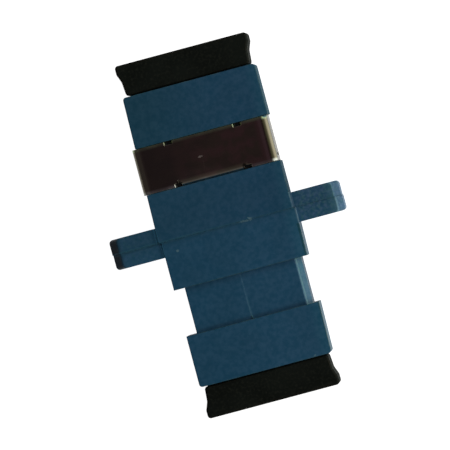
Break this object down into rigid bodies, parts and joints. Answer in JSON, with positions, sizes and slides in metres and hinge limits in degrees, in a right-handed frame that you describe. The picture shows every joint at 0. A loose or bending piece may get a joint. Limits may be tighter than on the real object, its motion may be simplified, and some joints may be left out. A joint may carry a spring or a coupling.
{
  "type": "sc fibre adapter",
  "caption": "Fibre-optic adapter with a flanged rectangular body welded from two halves, a latched port and a pull-off dust cap at each end, a split sleeve inside and a spring panel clip.",
  "frame": {"origin": "on the optical axis, in the weld plane where the two housing halves meet", "axes": "+Y along the optical axis towards the half that carries the panel clip, +Z out of the plain wide face, away from the face with the keyways, +X across the wide faces"},
  "size_m": [0.0224, 0.0344, 0.0094],
  "materials": {
    "housing": "fine satin moulding",
    "insert": "natural moulding",
    "sleeve": "ground",
    "clip": "bright rolled strip",
    "cap": "fine spark-eroded"
  },
  "bodies": {
    "adapter": {"front_housing": "housing", "rear_housing": "housing", "front_latch_insert": "insert", "rear_latch_insert": "insert", "alignment_sleeve": "sleeve", "panel_clip": "clip"},
    "front_cap": {"front_dust_cap": "cap"},
    "rear_cap": {"rear_dust_cap": "cap"}
  },
  "joints": [
    {"name": "rear_cap_pull", "type": "slide", "parent": "adapter", "child": "rear_cap", "axis": [0, 1, 0], "range_m": [0, 0.025]},
    {"name": "front_cap_pull", "type": "slide", "parent": "adapter", "child": "front_cap", "axis": [0, -1, 0], "range_m": [0, 0.025]}
  ]
}
